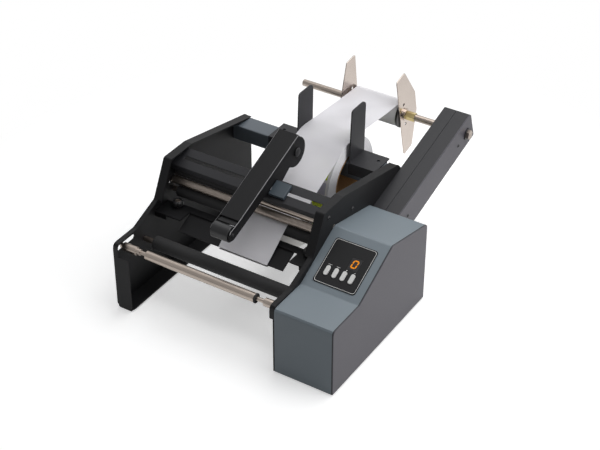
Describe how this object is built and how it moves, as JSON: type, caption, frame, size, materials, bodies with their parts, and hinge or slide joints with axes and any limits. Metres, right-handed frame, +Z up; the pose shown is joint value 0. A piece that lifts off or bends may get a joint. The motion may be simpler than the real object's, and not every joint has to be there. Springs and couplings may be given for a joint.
{
  "type": "label applicator",
  "caption": "Desk label applicator that rolls labels onto a round container, with a label roll, press arm and liner take-up.",
  "frame": {"origin": "centre of the footprint box, on the surface that the feet stand on", "axes": "+X from the open left plate to the control box, +Y from the container side to the liner take-up, +Z up"},
  "size_m": [0.3452, 0.4808, 0.231],
  "materials": {
    "black_powder_coat": "fine textured black powder coat",
    "grey_powder_coat": "satin blue-grey powder coat",
    "panel_powder_coat": "satin warm grey powder coat",
    "bright_steel": "turned steel",
    "knurled_steel": "straight knurled steel",
    "yellow_zinc": "yellow passivated zinc",
    "black_rubber": "ground rubber",
    "black_plastic": "moulded black plastic",
    "sensor_plastic": "moulded blue-grey plastic",
    "button_plastic": "moulded pale grey plastic",
    "panel_film": "printed polyester film",
    "display_film": "dark window over an orange digit",
    "label_paper": "coated label paper with a green and white print",
    "liner_paper": "glazed backing paper",
    "core_board": "wound brown board",
    "circuit_laminate": "solder-masked laminate",
    "motor_case": "plated motor can"
  },
  "bodies": {
    "frame": {"left_side_plate": "black_powder_coat", "right_side_plate": "black_powder_coat", "cross_beam": "grey_powder_coat", "foot_front_left": "black_rubber", "foot_rear_left": "black_rubber", "foot_front_right": "black_rubber", "foot_rear_right": "black_rubber", "liner_return": "liner_paper", "label_stock": "label_paper", "label_guide_plate": "black_powder_coat", "sensor_bar": "black_powder_coat", "press_arm_pin": "bright_steel", "press_arm_bracket": "black_powder_coat", "press_arm_spring": "bright_steel", "right_roll_guide": "black_powder_coat", "control_overlay": "panel_film", "display_window": "display_film", "circuit_board": "circuit_laminate", "control_cover": "grey_powder_coat", "control_side_panel": "panel_powder_coat", "control_base": "panel_powder_coat", "drive_motor": "motor_case", "roller_belt": "black_rubber", "takeup_belt": "black_rubber", "power_inlet": "black_plastic", "switch_body": "black_plastic", "pedal_socket": "black_plastic", "takeup_arm_left": "black_powder_coat", "takeup_arm_right": "panel_powder_coat"},
    "front_carriage": {"front_roller_shaft": "bright_steel"},
    "front_roller": {"front_roller": "bright_steel"},
    "rear_roller": {"rear_roller": "black_rubber", "rear_roller_shaft": "bright_steel"},
    "drive_roller": {"drive_roller": "black_rubber", "drive_roller_shaft": "bright_steel"},
    "knurled_roller": {"knurled_roller": "knurled_steel"},
    "idler_roller": {"idler_roller": "bright_steel"},
    "liner_idler": {"liner_idler": "bright_steel"},
    "label_roll": {"supply_core": "core_board", "supply_roll": "label_paper"},
    "left_roll_guide": {"left_roll_guide": "black_powder_coat"},
    "guide_knob_left": {"guide_knob_left": "black_plastic"},
    "guide_knob_right": {"guide_knob_right": "black_plastic"},
    "label_sensor": {"label_sensor": "sensor_plastic"},
    "press_arm": {"press_arm": "black_powder_coat"},
    "press_roller": {"press_roller": "black_plastic"},
    "panel_button_1": {"panel_button_1": "button_plastic"},
    "panel_button_2": {"panel_button_2": "button_plastic"},
    "panel_button_3": {"panel_button_3": "button_plastic"},
    "panel_button_4": {"panel_button_4": "button_plastic"},
    "motor_pulley": {"motor_pulley": "bright_steel"},
    "takeup_pulley": {"takeup_pulley": "bright_steel"},
    "power_switch": {"power_switch_rocker": "black_plastic"},
    "mandrel": {"mandrel_rod": "bright_steel", "takeup_hub": "black_plastic", "wound_liner": "liner_paper"},
    "left_flange": {"left_flange": "black_powder_coat"},
    "right_flange": {"right_flange": "black_powder_coat", "flange_collar": "yellow_zinc"}
  },
  "joints": [
    {"name": "front_roller_slide", "type": "slide", "parent": "frame", "child": "front_carriage", "axis": [0, 1, 0], "range_m": [-0.006, 0.022]},
    {"name": "front_roller_spin", "type": "hinge", "parent": "front_carriage", "child": "front_roller", "pos_m": [-0.0226, -0.22243, 0.095], "axis": [1, 0, 0], "continuous": true},
    {"name": "motor_spin", "type": "hinge", "parent": "frame", "child": "motor_pulley", "pos_m": [-0.0226, -0.09044, 0.06], "axis": [1, 0, 0], "continuous": true},
    {"name": "rear_roller_spin", "type": "hinge", "parent": "frame", "child": "rear_roller", "pos_m": [-0.0226, -0.17344, 0.077], "axis": [1, 0, 0], "continuous": true},
    {"name": "drive_roller_spin", "type": "hinge", "parent": "frame", "child": "drive_roller", "pos_m": [-0.0226, -0.10343, 0.121], "axis": [1, 0, 0], "continuous": true},
    {"name": "knurled_roller_spin", "type": "hinge", "parent": "frame", "child": "knurled_roller", "pos_m": [-0.0226, -0.10343, 0.137], "axis": [1, 0, 0], "continuous": true},
    {"name": "takeup_pulley_spin", "type": "hinge", "parent": "frame", "child": "takeup_pulley", "pos_m": [-0.0226, 0.20356, 0.146], "axis": [1, 0, 0], "continuous": true},
    {"name": "idler_roller_spin", "type": "hinge", "parent": "frame", "child": "idler_roller", "pos_m": [-0.0226, -0.09444, 0.146], "axis": [1, 0, 0], "continuous": true},
    {"name": "liner_idler_spin", "type": "hinge", "parent": "frame", "child": "liner_idler", "pos_m": [-0.0226, -0.08443, 0.122], "axis": [1, 0, 0], "continuous": true},
    {"name": "label_roll_spin", "type": "hinge", "parent": "frame", "child": "label_roll", "pos_m": [-0.0226, 0.05856, 0.11275], "axis": [1, 0, 0], "continuous": true},
    {"name": "mandrel_spin", "type": "hinge", "parent": "takeup_pulley", "child": "mandrel", "pos_m": [-0.0226, 0.20356, 0.146], "axis": [1, 0, 0], "continuous": true},
    {"name": "left_flange_slide", "type": "slide", "parent": "mandrel", "child": "left_flange", "axis": [1, 0, 0], "range_m": [-0.075, 0]},
    {"name": "right_flange_slide", "type": "slide", "parent": "mandrel", "child": "right_flange", "axis": [1, 0, 0], "range_m": [0, 0.035]},
    {"name": "left_roll_guide_slide", "type": "slide", "parent": "frame", "child": "left_roll_guide", "axis": [1, 0, 0], "range_m": [-0.05, 0]},
    {"name": "label_sensor_slide", "type": "slide", "parent": "frame", "child": "label_sensor", "axis": [1, 0, 0], "range_m": [0, 0.05]},
    {"name": "press_arm_lift", "type": "hinge", "parent": "frame", "child": "press_arm", "pos_m": [-0.02935, -0.03243, 0.195], "axis": [-1, 0, 0], "range_deg": [-2, 60]},
    {"name": "press_roller_spin", "type": "hinge", "parent": "press_arm", "child": "press_roller", "pos_m": [-0.0226, -0.18643, 0.15], "axis": [1, 0, 0], "continuous": true},
    {"name": "guide_knob_left_turn", "type": "hinge", "parent": "frame", "child": "guide_knob_left", "pos_m": [-0.1486, -0.12444, 0.115], "axis": [0, 0, 1], "continuous": true},
    {"name": "guide_knob_right_turn", "type": "hinge", "parent": "frame", "child": "guide_knob_right", "pos_m": [0.0647, -0.12444, 0.115], "axis": [0, 0, 1], "continuous": true},
    {"name": "power_switch_rock", "type": "hinge", "parent": "frame", "child": "power_switch", "pos_m": [0.1502, 0.00186, 0.034], "axis": [-1, 0, 0], "range_deg": [0, 18]},
    {"name": "panel_button_1_press", "type": "slide", "parent": "frame", "child": "panel_button_1", "axis": [0, 0.4515, -0.8923], "range_m": [0, 0.0012], "stiffness_N_per_m": 400},
    {"name": "panel_button_2_press", "type": "slide", "parent": "frame", "child": "panel_button_2", "axis": [0, 0.4515, -0.8923], "range_m": [0, 0.0012], "stiffness_N_per_m": 400},
    {"name": "panel_button_3_press", "type": "slide", "parent": "frame", "child": "panel_button_3", "axis": [0, 0.4515, -0.8923], "range_m": [0, 0.0012], "stiffness_N_per_m": 400},
    {"name": "panel_button_4_press", "type": "slide", "parent": "frame", "child": "panel_button_4", "axis": [0, 0.4515, -0.8923], "range_m": [0, 0.0012], "stiffness_N_per_m": 400}
  ],
  "couplings": [
    {"joint": "rear_roller_spin", "follows": "motor_spin", "ratio": 0.66667},
    {"joint": "drive_roller_spin", "follows": "motor_spin", "ratio": 0.74074},
    {"joint": "knurled_roller_spin", "follows": "motor_spin", "ratio": -1.1111},
    {"joint": "takeup_pulley_spin", "follows": "motor_spin", "ratio": 0.66667}
  ]
}
